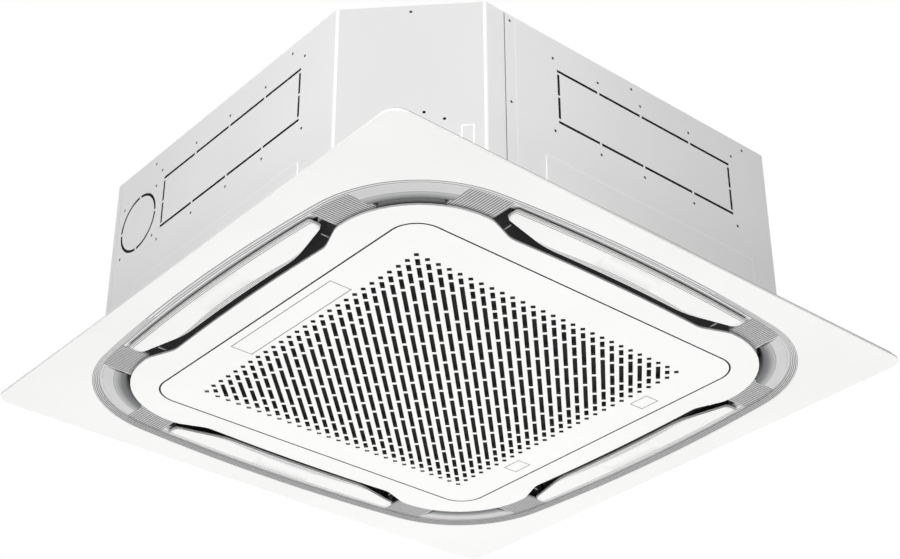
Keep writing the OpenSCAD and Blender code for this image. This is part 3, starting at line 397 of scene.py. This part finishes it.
def rimMarks(f, look=rimLook):
    x, y, z = f.axes()
    depth = insideChannel(x, y)
    every = (depth + look["before"]).rest(look["step"]).below(look["line"])
    wide = depth.rest(look["wideStep"]).below(look["wideLine"])
    lines = every + (wide - every) * (x + y).below(look["wideBelow"])
    # The lines are painted shade at the steps, kept below the last step's level
    return [(lines * z.below(look["top"]), look["lineShade"])]


# Liner: painted shade in the grooves between the ribs, and on the flaps' lips a fold line of painted shade, a
# painted highlight and painted shade that deepens inward and on their upper part
linerLook = {
    "grooveHeight": 0.0003, "fold": (0.0138, 0.0154), "gleam": (0.0154, 0.0172),
    "shadeRange": (0.0165, 0.024), "deepHeight": 0.006,
    "groove": "#979899", "foldShade": "#858687", "paintedGleam": "#f6f6f6", "lipShade": "#b9b9b9",
    "deepShade": "#3c3c3d",
}


def linerMarks(f, look=linerLook, plan=channelPlan):
    x, y, z = f.axes()
    low = abs(x).atMost(abs(y))
    lip = low.below(plan["ribsFrom"])
    depth = insideChannel(x, y)
    ribbed = low.over(plan["ribsFrom"]) * low.below(plan["outletFrom"])
    grooves = ribbed * z.over(plan["linerLevel"] - look["grooveHeight"])
    fold, gleam = (lip * depth.over(look[k][0]) * depth.below(look[k][1]) for k in ("fold", "gleam"))
    deep = lip * z.over(plan["linerLevel"] + look["deepHeight"])
    # Painted shade in the grooves, across the lip, in the fold and on the lip's upper part; a painted
    # highlight beside the fold
    return [(grooves, look["groove"]), (lip * depth.ramp(*look["shadeRange"]), look["lipShade"]),
            (fold, look["foldShade"]), (gleam, look["paintedGleam"]), (deep, look["deepShade"])]


# Corner outlets: a line of painted shade along the bulge of the lip, and painted shade that darkens the lip
# towards the throat
outletLook = {
    "line": 0.031, "lineHalf": 0.0006, "shadeRange": (0.0305, 0.034), "throatRange": (0.033, 0.044),
    "lineShade": "#8f9090", "lipShade": "#a9aaaa", "throatShade": "#6f7071",
}


def outletMarks(f, look=outletLook):
    x, y = f.axes()[:2]
    depth = insideChannel(x, y)
    line = abs(depth - look["line"]).below(look["lineHalf"])
    # All three tones are painted shade
    return [(depth.ramp(*look["shadeRange"]), look["lipShade"]),
            (depth.ramp(*look["throatRange"]), look["throatShade"]), (line, look["lineShade"])]


# Air guide: dark behind the flaps, grey beside the ribs, and pale in the outlets, where painted shade darkens
# its foot
guideLook = {"footRange": (0.003, 0.010), "besideRibs": "#c9caca", "throat": "#f4f4f4", "foot": "#3c3d3f"}


def guideMarks(f, look=guideLook, plan=channelPlan):
    x, y, z = f.axes()
    low = abs(x).atMost(abs(y))
    throat = low.over(plan["outletFrom"])
    # Painted shade: the foot tone darkens the guide's lowest part in the outlets
    foot = throat * z.ramp(*look["footRange"], 1.0, 0.0)
    return [(low.over(plan["ribsFrom"]), look["besideRibs"]), (throat, look["throat"]), (foot, look["foot"])]


# Walls: seams that show at each sheet's start and end; painted highlights along its fold and round its pad's
# ends and top level, and painted shade on its cut corner and in its cuts
wallSheets = {
    "side_sheet_front": (0.241, 0.241, 0.222, (-0.172, 0.2275, 0.1025)),
    "side_sheet_right": (0.241, 0.241, 0.222, (-0.2, 0.17, 0.097)),
    "side_sheet_back": (0.241, None, 0.222, (-0.2, 0.2, 0.097)),
    "side_sheet_left": (None, 0.241, None, (-0.2, 0.2, 0.097)),
}
wallLook = {
    "face": 0.415, "cutCorner": 0.4879, "cornerPad": (0.067, 0.0825, 0.102),
    "bendDepth": 0.0019, "cutDepth": 0.0004, "cornerDepth": 0.0005,
    "seamHalf": 0.0009, "padHalf": 0.0010, "foldHalf": 0.0007,
    # Painted shade in the corner and cut tones; painted highlights in the pad and bend tones
    "corner": "#d7d6d6", "pad": "#f9f9f9", "bend": "#f8f8f8", "seam": "#9fa0a0", "cut": "#0c0c0d",
}


# 1 on the line round a pressed pad, which is open at its foot
def padLine(u, z, pad, width):
    start, end, top = pad
    past = (abs(u - (start + end) / 2) - (end - start) / 2).atLeast(z - top)
    return abs(past).below(width)


# A sheet's wall and cut corner: turn is its side, in quarter turns from the front. The cut corner takes
# painted shade, the bend a painted highlight and the walls of the cuts a near-black painted shade
def wallMarks(f, turn, seamStart, seamEnd, fold, pad, look=wallLook):
    x, y, z = f.axes()
    c, s = ((1, 0), (0, 1), (-1, 0), (0, -1))[turn]
    along, back = x * c + y * s, y * c - x * s
    wall, side = 0 - back - look["face"], along - look["face"]
    cut = (along - back) * math.sqrt(0.5) - look["cutCorner"]
    bend = wall.atMost(cut).atLeast(cut.atMost(side)).over(-look["bendDepth"])
    cuts = wall.atLeast(cut).atLeast(side).below(-look["cutDepth"]) * (1 - bend)
    corner = cut.over(-look["cornerDepth"]) * (1 - bend)
    onCorner = (along + back) * math.sqrt(0.5)
    paintedHighlights = padLine(along, z, pad, look["padHalf"]).atLeast(
        padLine(onCorner, z, look["cornerPad"], look["padHalf"]))
    if fold:
        paintedHighlights = paintedHighlights.atLeast(abs(along + fold).below(look["foldHalf"]))
    seams = [(abs(v + place).below(look["seamHalf"]), look["seam"])
             for v, place in ((along, seamStart), (back, seamEnd)) if place]
    return [(corner, look["corner"]), (paintedHighlights, look["pad"]), (bend, look["bend"]), *seams,
            (cuts, look["cut"])]


finishes = {
    "panel_white": whitePlastic(), "channel_grey": greyPlastic(), "dark_plastic": darkPlastic(),
    "part_plastic": partPlastic(), "sheet_metal": coatedSheet(), "steel": zincSteel(),
    "fins": bareFins(), "copper": bareCopper(), "brass": turnedBrass(), "foam": cellFoam(),
    "pan_foam": beadFoam(), "board": greenBoard(), "mesh": fineNet(), "rubber": blackRubber(),
}
# Nodes with a finish of their own
grilleWhite = whitePlastic("grilleWhite", "#f7f7f6", "#f4f4f3", grilleMarks)
ownFinish = {
    "inner_frame": whitePlastic("frameWhite", "#f6f6f5", "#f2f2f1", frameMarks),
    "grille": grilleWhite, "receiver_cover": grilleWhite, "latch_front": grilleWhite,
    "latch_back": grilleWhite,
    "channel_rim": greyPlastic("rimGrey", "#dddcdc", "#d7d6d6", rimMarks),
    "channel_liner": greyPlastic("linerGrey", "#d7d6d6", "#d1d0d0", linerMarks),
    "corner_outlets": greyPlastic("outletGrey", "#d2d1d1", "#cccbcb", outletMarks),
    "air_guide": darkPlastic("guideDark", "#5c5c5d", "#575758", guideMarks),
    "flap_bushes": finishes["dark_plastic"], "flap_motors": finishes["dark_plastic"],
    "wall_foam": cellFoam("darkFoam", "#161617", "#222223"),
    "ceiling_seal": cellFoam("sealFoam", "#a3a4a4", "#b0b1b1"),
}
for turn, (name, sheet) in enumerate(wallSheets.items()):
    ownFinish[name] = coatedSheet("sheet" + name.rsplit("_", 1)[1].title(), (turn, *sheet))
slotOf = {part["node"]: part["material_slot"] for part in frame["record"]["subparts"]}
for name, thing in nodes.items():
    thing.data.materials.clear()
    thing.data.materials.append(ownFinish.get(name) or finishes[slotOf[name]])
print("finishes made,", len(bpy.data.materials))

# Points nearer than this become one, and edges sharper than this many degrees stay sharp
pieceRules = {"together": 1e-6, "creaseAngle": 32}


# Sorts a mesh's points, edges and faces by place, since extruding leaves them in any order
def putInOrder(bm):
    middles = ((bm.verts, lambda v: v.co), (bm.edges, lambda e: e.verts[0].co + e.verts[1].co),
               (bm.faces, lambda f: f.calc_center_median()))
    for parts, middle in middles:
        ranks = {part: i for i, part in enumerate(sorted(parts, key=lambda p: tuple(middle(p))))}
        parts.sort(key=ranks.get)


# A new piece from a bmesh: it rides on a body, takes a slot's finish and may stand for CAD nodes
def addPiece(name, bm, body, slot, finish=None, replaced=()):
    bmesh.ops.remove_doubles(bm, verts=bm.verts, dist=pieceRules["together"])
    bmesh.ops.recalc_face_normals(bm, faces=bm.faces)
    putInOrder(bm)
    thing = bpy.data.objects.new(name, bpy.data.meshes.new(name))
    bm.to_mesh(thing.data)
    bm.free()
    thing.data.shade_smooth()
    thing.data.set_sharp_from_angle(angle=math.radians(pieceRules["creaseAngle"]))
    thing.data.materials.append(finish or finishes[slot])
    bpy.context.scene.collection.objects.link(thing)
    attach(thing, body)
    if replaced:
        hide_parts(*replaced)


def turnAboutMiddle(bm, verts, degrees):
    turned = Matrix.Rotation(math.radians(degrees), 3, "Z")
    bmesh.ops.rotate(bm, verts=verts, cent=(0, 0, 0), matrix=turned)


# Flaps, drawn as the front one: a plate with fine grooves along both long edges.
# A groove's start, slope and width are shares of the step from one groove to the next.
# The inner grooves close up towards the ends, and grow shallow once their band is narrow
flapPlate = {
    "length": 0.430, "outerMiddle": 0.412, "outerBow": 0.0075, "innerEdge": 0.3625, "innerBow": 0.003,
    "shoulder": 0.132, "tip": 0.3825, "thick": 0.004, "edgeRound": 0.0008, "roundMiddle": 0.3,
    "shoulderBlend": 0.006, "innerRound": 0.008, "outerRound": 0.003,
    "innerGrooves": 3, "innerBand": 0.0085, "innerReach": 0.158, "leastFade": 0.02, "depthFade": 3,
    "outerGrooves": 2, "outerBand": 0.0062,
    "grooveDepth": 0.0007, "grooveStart": 0.35, "grooveSlope": 0.12, "grooveWidth": 0.52,
    "armsOverlap": 0.0002, "stations": 22,
    # Painted shade: the line tone in the grooves and the arms tone on the arms
    "lineFrom": 0.0003, "lineTo": 0.0009, "armsFrom": 0.0045, "line": "#8a8b8b", "arms": "#3b3b3c",
}


# Painted shade shows as grey lines in the grooves along the edges, and painted shade makes the arms dark
def flapMarks(f, look=flapPlate):
    z = f.axes()[2]
    return [(z.over(look["lineFrom"]) * z.below(look["lineTo"]), look["line"]),
            (z.over(look["armsFrom"]), look["arms"])]


# How far a quarter round of the end's corner pulls an edge in, at t along the flap
def endRound(t, half, radius):
    return radius - math.sqrt(max(0, radius ** 2 - max(0, t - half + radius) ** 2))


def flapInner(t, plan):
    t = abs(t)
    half = plan["length"] / 2
    bow = plan["innerEdge"] + plan["innerBow"] * (1 - (t / plan["shoulder"]) ** 2)
    slope = (plan["tip"] - plan["innerEdge"]) / (half - plan["shoulder"])
    slant = plan["innerEdge"] + (t - plan["shoulder"]) * slope
    blend = plan["shoulderBlend"]
    edge = max(bow, slant) + max(0, blend - abs(bow - slant)) ** 2 / (4 * blend)
    return edge + endRound(t, half, plan["innerRound"])


def flapOuter(t, plan):
    t = abs(t)
    half = plan["length"] / 2
    edge = plan["outerMiddle"] - plan["outerBow"] * (t / half) ** 2
    return edge - endRound(t, half, plan["outerRound"])


# Points of a band of grooves across the plate's face, from its start inward
def groovePoints(start, band, count, depth, plan):
    step = band / count
    slope, width = plan["grooveSlope"] * step, plan["grooveWidth"] * step
    points = []
    for i in range(count):
        a = start + (i + plan["grooveStart"]) * step
        points += [(a, 0), (a + slope, depth), (a + width - slope, depth), (a + width, 0)]
    return points


# The plate's outline across, at t along it, as points in order round it
def flapSection(t, plan):
    inner, outer = flapInner(t, plan), flapOuter(t, plan)
    fade = max(plan["leastFade"], 1 - (t / plan["innerReach"]) ** 2)
    r, thick, deep = plan["edgeRound"], plan["thick"], plan["grooveDepth"]
    m = plan["roundMiddle"] * r
    points = [(inner + r, thick), (inner, thick - r), (inner, r), (inner + m, m), (inner + r, 0)]
    points += groovePoints(inner + r, plan["innerBand"] * fade, plan["innerGrooves"],
                           deep * min(1, plan["depthFade"] * fade), plan)
    points += groovePoints(outer - r - plan["outerBand"], plan["outerBand"], plan["outerGrooves"], deep, plan)
    points += [(outer - r, 0), (outer - m, m), (outer, r), (outer, thick - r), (outer - r, thick)]
    return [Vector((t, -y, z)) for y, z in points]


# Extrudes an end loop to the next section; gives back the new loop and its corners in order
def extrudeSection(bm, loop, corners, places):
    made = bmesh.ops.extrude_edge_only(bm, edges=loop)["geom"]
    verts = {v for v in made if isinstance(v, bmesh.types.BMVert)}
    corners = [next(e.other_vert(c) for e in c.link_edges if e.other_vert(c) in verts) for c in corners]
    for corner, place in zip(corners, places):
        corner.co = place
    loop = [e for e in made if isinstance(e, bmesh.types.BMEdge) and verts.issuperset(e.verts)]
    return loop, corners


# The plate's stations stand closer together towards its ends
def makePlate(plan):
    half, count = plan["length"] / 2, plan["stations"]
    places = [half * math.sin(math.pi / 2 * (i / count)) for i in range(-count, count + 1)]
    bm = bmesh.new()
    corners = [bm.verts.new(p) for p in flapSection(places[0], plan)]
    loop = [bm.edges.new((corners[i], corners[i - 1])) for i in range(len(corners))]
    bmesh.ops.contextual_create(bm, geom=loop)
    for t in places[1:]:
        loop, corners = extrudeSection(bm, loop, corners, flapSection(t, plan))
    bmesh.ops.contextual_create(bm, geom=loop)
    return bm


# The CAD flap's arms and shafts, which stand on its plate, are added to a mesh
def addArms(bm, node, plan):
    arms = bmesh.new()
    arms.from_mesh(nodes[node].data)
    bmesh.ops.remove_doubles(arms, verts=arms.verts, dist=pieceRules["together"])
    geom = list(arms.verts) + list(arms.edges) + list(arms.faces)
    level = (0, 0, plan["thick"] - plan["armsOverlap"])
    bmesh.ops.bisect_plane(arms, geom=geom, plane_co=level, plane_no=(0, 0, 1), clear_inner=True)
    kept = bpy.data.meshes.new("arms")
    arms.to_mesh(kept)
    arms.free()
    bm.from_mesh(kept)


def makeFlap(name, degrees, finish, plan=flapPlate):
    bm = makePlate(plan)
    turnAboutMiddle(bm, bm.verts, degrees)
    addArms(bm, name, plan)
    addPiece(name + "Plate", bm, name, "panel_white", finish, replaced=(name,))


flapWhite = whitePlastic("flapWhite", marks=flapMarks)
for i, side in enumerate(("front", "right", "back", "left")):
    makeFlap("flap_" + side, 90 * i, flapWhite)
print("flaps made")

# Thin bars across the dark strip between each flap and the inner frame
guideBars = {
    "along": 0.194, "from": 0.3545, "to": 0.3685, "width": 0.0008, "low": 0.005, "high": 0.007,
    "edgeRound": 0.0002,
}


def makeGuideBars(plan=guideBars):
    bm = bmesh.new()
    size = (plan["width"], plan["to"] - plan["from"], plan["high"] - plan["low"])
    for degrees in (0, 90, 180, 270):
        for along in (-plan["along"], plan["along"]):
            made = bmesh.ops.create_cube(bm, size=1)["verts"]
            bmesh.ops.scale(bm, verts=made, vec=size)
            middle = (along, -(plan["from"] + plan["to"]) / 2, (plan["low"] + plan["high"]) / 2)
            bmesh.ops.translate(bm, verts=made, vec=middle)
            turnAboutMiddle(bm, made, degrees)
    bmesh.ops.bevel(bm, geom=list(bm.edges), offset=plan["edgeRound"], segments=1, profile=0.5,
                    affect="EDGES", material=-1)
    addPiece("guideBars", bm, "casing", "channel_grey")


makeGuideBars()
print("guide bars made")

# Floor, background and lamps; a lamp without an aim points at the body's middle
studio = {
    "floorLevel": -2.4, "floorSize": 14.0, "floorColour": "#f4f4f4", "floorGlow": 0.5,
    "skyLight": 0.21, "middle": (0, 0, 0.12),
    "lamps": {
        "under": {"place": (0.6, 0.65, -2.3), "aim": (0.6, 0.65, 0), "size": 5.0, "power": 99.5},
        "left": {"place": (-1.9, -0.5, 0.2), "size": 0.8, "power": 12.9},
        "front": {"place": (-0.8, -1.6, 0.2), "size": 0.8, "power": 11.8},
        "over": {"place": (0.5, 0.2, 3.0), "size": 2.5, "power": 32},
        "behind": {"place": (2.3, 2.6, 1.2), "size": 1.6, "power": 32},
    },
}
white = (1, 1, 1, 1)


# A soft even light from all round, which the camera, metal and glass see as white
def addBackground(plan):
    f = Finish("studio", bpy.data.worlds.new("studio"))
    seen = [f.node("LightPath", out="Is " + kind + " Ray") for kind in ("Camera", "Glossy", "Transmission")]
    light = f.node("Background", values={"Color": white, "Strength": plan["skyLight"]})
    plain = f.node("Background", values={"Color": white, "Strength": 1.0})
    both = f.node("MixShader", values={0: seen[0].atLeast(seen[1]).atLeast(seen[2]), 1: light, 2: plain})
    f.node("OutputWorld", values={"Surface": both})
    bpy.context.scene.world = f.owner


# The floor looks paler to the camera than its light makes it, and is clear from below
def floorFinish(plan):
    f = Finish("paleFloor")
    pale = f.node("BsdfDiffuse", values={"Color": linear(plan["floorColour"])})
    glow = f.node("Emission", values={"Color": white, "Strength": plan["floorGlow"]})
    both = f.node("AddShader", values={0: pale, 1: glow})
    lit = f.node("MixShader", values={0: f.node("LightPath", out="Is Camera Ray"), 1: pale, 2: both})
    below = f.node("NewGeometry", out="Backfacing")
    clear = f.node("BsdfTransparent")
    f.node("OutputMaterial", values={"Surface": f.node("MixShader", values={0: below, 1: lit, 2: clear})})
    return f.owner


def addFloor(plan):
    bm = bmesh.new()
    bmesh.ops.create_grid(bm, x_segments=1, y_segments=1, size=plan["floorSize"] / 2)
    bmesh.ops.translate(bm, verts=bm.verts, vec=(0, 0, plan["floorLevel"]))
    floor = bpy.data.objects.new("floor", bpy.data.meshes.new("floor"))
    bm.to_mesh(floor.data)
    bm.free()
    floor.data.materials.append(floorFinish(plan))
    bpy.context.scene.collection.objects.link(floor)


def addLamp(name, lamp, middle):
    data = bpy.data.lights.new(name, "AREA")
    data.size = lamp["size"]
    data.energy = lamp["power"]
    thing = bpy.data.objects.new(name, data)
    thing.location = lamp["place"]
    aim = Vector(lamp.get("aim", middle)) - thing.location
    thing.rotation_euler = aim.to_track_quat("-Z", "Y").to_euler()
    thing.visible_camera = False
    bpy.context.scene.collection.objects.link(thing)


addBackground(studio)
addFloor(studio)
for name, lamp in studio["lamps"].items():
    addLamp(name, lamp, studio["middle"])
print("floor, background and lamps placed")
